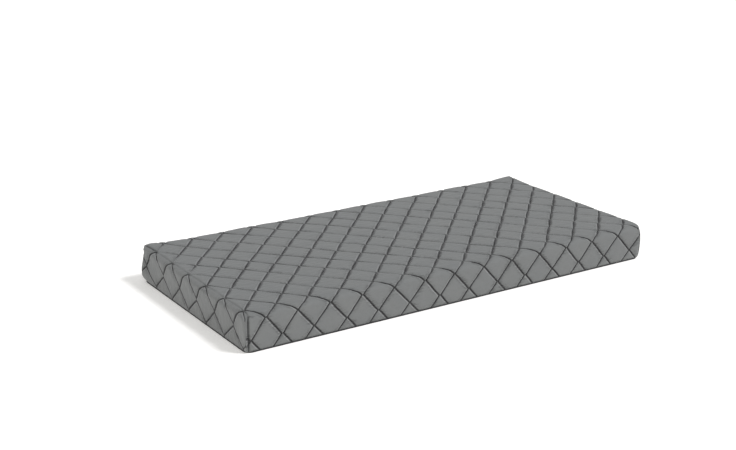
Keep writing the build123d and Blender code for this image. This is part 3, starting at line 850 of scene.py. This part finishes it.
def add_cover_values(mesh, flat):
    """Keeps at each point what the microfibre's colour and bump are worked out from."""
    u, v = flat[:, :2].T
    line, left, right = stitch_distances(u, v)
    nearest = np.where(left < right, line, line + 1)
    side = np.where(left < right, 1, -1)
    tension = stitch_tension(u, v, nearest)
    # on one side of each tight line across the top the painted shade reaches further
    painted_shade_reach = np.where(u < 0, 1.0, 1.1 + 1.7 * tension * (1 - wall_share(u, v)))
    run = (v - FIRST_TURN) * SLANT / TURN_PITCH
    vectors = {
        "flat": flat,
        "quilting": np.stack([np.minimum(left, right), run, nearest * 0.37 + side * 0.1], -1),
    }
    numbers = {
        "fold": folds(u, v),
        # tension, also how far the painted shade reaches from the line
        "tension": tension * np.where(side < 0, 1.0, painted_shade_reach),
        # the painted highlight's strength, on one side of each line
        "lit": np.where(side < 0, tension, 0.0),
    }
    for name, values in vectors.items():
        kept = mesh.attributes.new(name, "FLOAT_VECTOR", "POINT")
        kept.data.foreach_set("vector", values.ravel())
    for name, values in numbers.items():
        mesh.attributes.new(name, "FLOAT", "POINT").data.foreach_set("value", values)


def quilt_wadding():
    """The soft filling between the face fabric and the backing, flattened at the lines."""
    bm = flat_cover(mirrored_shares([0, 0.04, 0.11, 0.28]), mirrored_shares([0, 0.2]), fine=False)
    bm.verts.index_update()
    flat = np.array([vert.co for vert in bm.verts])
    u, v = flat[:, :2].T
    outside, normal = wrap(u, v)
    under, flattest = 0.0077, 0.0075  # how deep its lower face lies, and its upper at most
    _, left, right = stitch_distances(u, v)
    depth = np.clip(GROOVE_INSET - puff(u, v) + 0.0022, 0, flattest)
    flattened = (np.minimum(left, right) < 0.0025) | (seam_distance(u, v) < 0.11)
    flattened |= (np.abs(u - PULLED_EDGE) < 0.035) | (np.abs(u - LENGTH) < 0.030)
    depth = np.where(flattened, flattest, depth)
    outer = raise_corners(outside - normal * depth[:, None], u, v)
    inner = raise_corners(outside - normal * under, u, v)
    count = len(flat)
    faces = [[vert.index for vert in face.verts] for face in bm.faces]
    back_faces = [[index + count for index in reversed(face)] for face in faces]
    sides = []
    for edge in bm.edges:
        if edge.is_boundary:
            first, second = (vert.index for vert in edge.verts)
            sides.append([first, second, second + count, first + count])
    bm.free()
    mesh = bpy.data.meshes.new("quilt_wadding")
    mesh.from_pydata(np.concatenate([outer, inner]).tolist(), [], faces + back_faces + sides)
    fixed = bmesh.new()
    fixed.from_mesh(mesh)
    bmesh.ops.recalc_face_normals(fixed, faces=fixed.faces)
    fixed.to_mesh(mesh)
    fixed.free()
    piece = finish_piece(mesh, WADDING_FLUFF, "wadding", "cover_wadding")


# ---- Stitches ----

STITCH_PITCH = 0.0046
STITCH_LENGTH = 0.0040
STITCH_WIDTH = 0.0007
STITCH_RISE = 0.00025  # its middle stands this high over the cover
STITCH_DIP = 0.0003  # and its tips go this deep into it


def stitches_of_line(line):
    """Every stitch of one needle's line: its ends, its middle's normal, and u and v."""
    v = np.arange(-WALL + 0.004, WIDTH + WALL - 0.004, 0.0005)
    u, v = from_pattern(line_at(line, v), v)
    point, normal = cover_surface(u, v)
    run = np.concatenate([[0], np.cumsum(np.linalg.norm(np.diff(point, axis=0), axis=1))])
    starts = np.arange(0.001, run[-1] - STITCH_PITCH, STITCH_PITCH)

    def at(distance, values):
        return np.stack([np.interp(distance, run, part) for part in values.T], -1)

    middles = starts + STITCH_LENGTH / 2
    ends = starts + STITCH_LENGTH
    flat = at(middles, np.stack([u, v], -1))
    return at(starts, point), at(ends, point), at(middles, point), at(middles, normal), flat


def stitch_places():
    """All stitches of the quilting, without those that a seam or the zip takes up."""
    first_line = math.floor(-WALL / LINE_PITCH)
    last_line = math.ceil((LENGTH + WALL) / LINE_PITCH)
    lines = [stitches_of_line(line) for line in range(first_line, last_line)]
    start, end, middle, normal, flat = (np.concatenate(part) for part in zip(*lines))
    u, v = flat.T
    from_end, from_side = corner_distances(u, v)
    on_cover = (u > -WALL + 0.003) & (u < LENGTH + WALL - 0.003)
    kept = on_cover & ~((from_end < 0) & (from_side < 0))
    kept &= seam_distance(u, v) > 0.004
    kept &= ~in_opening(u, v) & (opening_distance(u, v) > 0.004)
    # a stitch that jumps across the fold at an end's edge is left out
    kept &= np.linalg.norm(end - start, axis=1) < 1.5 * STITCH_LENGTH
    return [part[kept] for part in (start, end, middle, normal, flat)]


def stitch_faces(sides):
    """The faces of one stitch: a tube of two rings with a point beyond each end."""
    faces = []
    for here in range(sides):
        following = (here + 1) % sides
        faces.append([here, following, sides + following, sides + here])
        faces.append([2 * sides, following, here])
        faces.append([2 * sides + 1, sides + here, sides + following])
    return faces


def stitch_threads(name, start, end, middle, up):
    """One short thread for each stitch; its tips dip into the cover."""
    sides = 5
    tangent = unit(end - start)
    across = unit(np.cross(up, tangent))
    rings = []
    for along in (-0.30, 0.30):
        for turn in ring_angles(sides):
            sideways = across * STITCH_WIDTH / 2 * math.cos(turn)
            upwards = up * (STITCH_WIDTH / 2 * math.sin(turn) + STITCH_RISE)
            rings.append(middle + tangent * STITCH_LENGTH * along + sideways + upwards)
    tips = [middle + tangent * STITCH_LENGTH * along - up * STITCH_DIP for along in (-0.54, 0.54)]
    points = np.stack([*rings, *tips], 1)
    first = points.shape[1] * np.arange(len(middle))[:, None]
    faces = []
    for face in stitch_faces(sides):
        faces += (first + np.array(face)).tolist()
    mesh = bpy.data.meshes.new(name)
    mesh.from_pydata(points.reshape(-1, 3).tolist(), [], faces)
    return mesh


def quilting_stitches():
    """The quilting's stitches, in a piece for each side of the cover."""
    *stitches, flat = stitch_places()
    u, v = flat.T
    sides = {
        "front": v < 0,
        "back": v > WIDTH,
        "left": u < 0,
        "right": u > LENGTH,
        "top": (v >= 0) & (v <= WIDTH) & (u >= 0) & (u <= LENGTH),
    }
    for side, chosen in sides.items():
        mesh = stitch_threads(f"quilting_stitches_{side}", *[part[chosen] for part in stitches])
        finish_piece(mesh, THREAD, "thread", f"quilting_thread_{side}")


def corner_seams():
    """The rolled seam allowance just behind each sewn corner."""
    drop = np.linspace(0.0, WALL - 0.004, 60)
    radius = 0.0012
    seams = []
    for end in (0.0, LENGTH):
        for v in (-drop, WIDTH + drop):
            middle, normal = cover_surface(np.full_like(drop, end), v, lift=-0.0011)
            across = unit(np.cross(np.gradient(middle, axis=0), normal))
            paths = []
            for turn in ring_angles(8):
                paths.append(middle + radius * (across * math.cos(turn) + normal * math.sin(turn)))
            seams.append(paths)
    make_piece("corner_seams", *tubes(seams), MICROFIBRE, "quilted_fabric")


quilted_cover()
quilt_wadding()
corner_seams()
quilting_stitches()


# ---- Piping and underside ----


def rounded_loop(inset, radius, step):
    """Points and inward directions round the mattress, seen from above."""
    half_x, half_y = LENGTH / 2 - inset, WIDTH / 2 - inset
    signs = [(1, -1), (1, 1), (-1, 1), (-1, -1)]
    middles = [np.array([x * (half_x - radius), y * (half_y - radius)]) for x, y in signs]
    arc_count = max(6, math.ceil(radius * math.pi / 2 / step))
    points, inward = [], []
    for corner, middle in enumerate(middles):
        for angle in np.radians(90 * (corner - 1) + np.linspace(0, 90, arc_count)):
            out = np.array([math.cos(angle), math.sin(angle)])
            points.append(middle + radius * out)
            inward.append(-out)
        # and straight on to where the next corner starts
        start = points[-1]
        straight = middles[(corner + 1) % 4] + radius * out - start
        steps = math.ceil(np.linalg.norm(straight) / step)
        for share in np.arange(1, steps) / steps:
            points.append(start + share * straight)
            inward.append(-out)
    return np.array(points), np.array(inward)


PIPING_INSET = 0.0033  # its middle lies this far inside the outline
PIPING_CORNER = 0.0267  # and has this radius round the corners
PIPING_HEIGHT = 0.0026
PIPING_RADIUS = 0.00222
FLANGE_INSETS = (0.001, 0.0065)  # from the piping's middle inwards
FLANGE_HEIGHTS = (0.0033, 0.0049)


def piping():
    """The piping's folded sleeve round its cord, slightly gathered, and its flange."""
    loop, inward = rounded_loop(PIPING_INSET, PIPING_CORNER, step=0.004)
    steps = np.linalg.norm(np.diff(loop, axis=0, append=loop[:1]), axis=1)
    run = np.concatenate([[0], np.cumsum(steps)[:-1]])
    gathers = 0.00010 * np.sin(run / 0.0061) + 0.00008 * np.sin(run / 0.0143 + 1)
    sleeve = []
    for turn in ring_angles(14):
        radius = PIPING_RADIUS + gathers * (1 + 0.5 * math.cos(2 * turn))
        level = -inward * (radius * math.cos(turn))[:, None]
        height = PIPING_HEIGHT + radius * math.sin(turn)
        sleeve.append(np.concatenate([loop + level, height[:, None]], -1))
    (near, far), (low, high) = FLANGE_INSETS, FLANGE_HEIGHTS
    flange = []
    for inset, height in ((near, high), (far, high), (far, low), (near, low)):
        heights = np.full((len(loop), 1), height)
        flange.append(np.concatenate([loop + inward * inset, heights], -1))
    points, faces = tubes([sleeve, flange], closed=True)
    make_piece("piping_edge", points, faces, PIPING_CLOTH, "piping", "piping_sleeve")


def underside():
    """The non-slip panel, drawn very slightly up along its sewn edge."""
    low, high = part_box("bottom_panel")
    half_x, half_y = high.x, high.y
    radius = 0.024
    x, y = np.meshgrid(np.linspace(-1, 1, 151) * half_x, np.linspace(-1, 1, 75) * half_y)
    # the square grid's corners are drawn in to round ones
    core_x = np.clip(x, radius - half_x, half_x - radius)
    core_y = np.clip(y, radius - half_y, half_y - radius)
    off = np.hypot(x - core_x, y - core_y)
    largest = np.maximum(np.abs(x - core_x), np.abs(y - core_y))
    shrink = np.where(off > 0, largest / np.maximum(off, 1e-9), 1)
    x = core_x + (x - core_x) * shrink
    y = core_y + (y - core_y) * shrink
    from_edge = np.minimum(half_x - np.abs(x), half_y - np.abs(y))
    lift = 0.0005 * np.exp(-from_edge / 0.008)
    lift += 0.00015 * (1 + waves(x, y, 8, 0.05)) * np.exp(-from_edge / 0.05)
    lower = np.stack([x, y, low.z + lift], -1)
    upper = np.stack([x, y, np.full_like(x, high.z)], -1)
    panel = closed_sheet(lower, upper)
    piece = make_piece("non_slip_underside", *panel, GRIP_CLOTH, "underside_fabric", "bottom_panel")


piping()
underside()


# ---- Zip ----

TOOTH_PITCH = 0.0025
TOOTH_RADIUS = 0.00085


def cloth_strip(name, source, material, slot, step, wave):
    """A thin strip of cloth in a CAD node's box on the back wall, slightly wavy."""
    low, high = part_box(source)
    columns = max(4, math.ceil((high.x - low.x) / step))
    rows = max(4, math.ceil((high.z - low.z) / step))
    x, z = np.meshgrid(np.linspace(low.x, high.x, columns), np.linspace(low.z, high.z, rows))
    sway = wave * waves(x, z, len(name), 0.06)
    edge = np.minimum(np.minimum(x - low.x, high.x - x), np.minimum(z - low.z, high.z - z))
    thin = 0.25 * (high.y - low.y) * np.exp(-edge / 0.0008)
    outer = np.stack([x, high.y - wave + sway - thin, z], -1)
    inner = np.stack([x, low.y + wave + sway + thin, z], -1)
    return make_piece(name, *closed_sheet(outer, inner), material, slot, source)


def zip_teeth(source, towards_middle, offset):
    """A row of coil teeth, each a rounded loop that narrows towards the middle."""
    low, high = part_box(source)
    centre_y = (low.y + high.y) / 2
    half_deep = (high.y - low.y) / 2
    edge, tip = (low.z, high.z) if towards_middle > 0 else (high.z, low.z)
    profile = [(0.0, 0.45), (0.12, 0.95), (0.72, 1.0), (0.90, 1.0), (1.0, 0.55)]
    sides = 8
    tooth = []
    for share, size in profile:
        for turn in ring_angles(sides):
            x = TOOTH_RADIUS * size * math.cos(turn)
            y = centre_y + half_deep * size * math.sin(turn)
            tooth.append((x, y, edge + (tip - edge) * share))
    count = int((high.x - low.x - 0.001) / TOOTH_PITCH)
    shift = np.zeros((count, 1, 3))
    shift[:, 0, 0] = low.x + 0.0009 + offset + TOOTH_PITCH * np.arange(count)
    points = np.array(tooth) + shift
    walls = grid_faces(len(profile), sides, close_columns=True).tolist()
    caps = [list(range(sides))[::-1], list(range(len(tooth) - sides, len(tooth)))]
    faces = []
    for number in range(count):
        faces += [[index + number * len(tooth) for index in face] for face in walls + caps]
    if towards_middle < 0:
        faces = [face[::-1] for face in faces]
    mesh = bpy.data.meshes.new(source.replace("coil", "teeth"))
    mesh.from_pydata(points.reshape(-1, 3).tolist(), [], faces)
    finish_piece(mesh, NYLON, "zip_coil", source)


for tape in ("zip_tape_upper", "zip_tape_lower"):
    cloth_strip(tape + "_cloth", tape, TAPE_CLOTH, "zip_tape", 0.004, 0.0001)
zip_teeth("zip_coil_upper", -1, 0.0)
zip_teeth("zip_coil_lower", 1, TOOTH_PITCH / 2)
for tab in ("zip_end_tab_left", "zip_end_tab_right"):
    cloth_strip(tab + "_patch", tab, PIPING_CLOTH, "piping", 0.001, 0.00005)
cloth_strip("blank_label", "care_label", SATIN, "label", 0.001, 0.00008)


# ---- CAD nodes that keep their own shape ----

CORNER_NAMES = ("front_left", "front_right", "back_left", "back_right")
KEPT = {
    BACKING_FLEECE: ["cover_backing"],
    BINDING_CLOTH: [f"corner_binding_{corner}" for corner in CORNER_NAMES],
    LINING_FELT: ["bottom_lining"],
    CORD_COTTON: ["piping_cord"],
    KNIT: ["inner_sock", "inner_sock_base"],
    SUPPORT_FOAM: ["support_foam_base"],
    TRANSITION_FOAM: ["transition_foam"],
    MEMORY_FOAM: ["memory_foam_layer"],
    METAL: ["zip_top_stops", "zip_bottom_stop", "zip_slider_body", "zip_pull_tab"],
}
for material, names in KEPT.items():
    for name in names:
        nodes[name].data.materials.clear()
        nodes[name].data.materials.append(material)
for name in KEPT[METAL]:
    bevel = nodes[name].modifiers.new("rounded_edges", "BEVEL")
    bevel.width = 0.00018
    bevel.segments = 2
    bevel.limit_method = "ANGLE"


# ---- Floor, light and camera ----


def studio():
    """A plain pale floor under very soft, even light."""
    mesh = bpy.data.meshes.new("floor")
    half = 40
    corners = [(-half, -half, 0), (half, -half, 0), (half, half, 0), (-half, half, 0)]
    mesh.from_pydata(corners, [], [(0, 1, 2, 3)])
    floor = new_object("floor", mesh)
    floor.location.z = -0.0002
    glow = {"Emission_Color": (1.0, 0.98, 0.95, 1), "Emission_Strength": 0.25}
    finish = {"Base_Color": (0.94, 0.93, 0.915, 1), "Roughness": 0.9, "Specular_IOR_Level": 0.1}
    mesh.materials.append(new_material("pale_floor", **finish, **glow)[0])

    world = bpy.data.worlds.new("soft_room")
    world.use_nodes = True
    background = world.node_tree.nodes["Background"]
    background.inputs["Color"].default_value = (0.98, 0.99, 1.0, 1)
    background.inputs["Strength"].default_value = 0.50
    scene.world = world

    def soft_sun(name, towards, strength, spread, colour):
        light = bpy.data.lights.new(name, "SUN")
        light.energy = strength
        light.angle = math.radians(spread)
        light.color = colour
        lamp = new_object(name, light)
        lamp.rotation_euler = Vector(towards).to_track_quat("-Z", "Y").to_euler()

    soft_sun("key", (-0.43, 0.47, -0.77), 2.15, 16, (0.98, 0.99, 1.0))
    soft_sun("fill", (0.95, 0.10, -0.20), 1.0, 50, (1.0, 0.98, 0.94))
    scene.view_settings.view_transform = "Standard"


def camera():
    """The camera at the height and angle of a person looking along the mattress."""
    lens = bpy.data.cameras.new("camera")
    lens.sensor_width = 36.0
    lens.lens = 64.8
    eye = new_object("camera", lens)
    turn = Matrix.Rotation(math.radians(-32.67), 4, "Z")
    tilt = Matrix.Rotation(math.radians(90 - 17.955), 4, "X")
    roll = Matrix.Rotation(math.radians(-0.11), 4, "Z")
    eye.matrix_world = Matrix.Translation((-2.930, -4.344, 1.893)) @ turn @ tilt @ roll
    scene.camera = eye


studio()
camera()
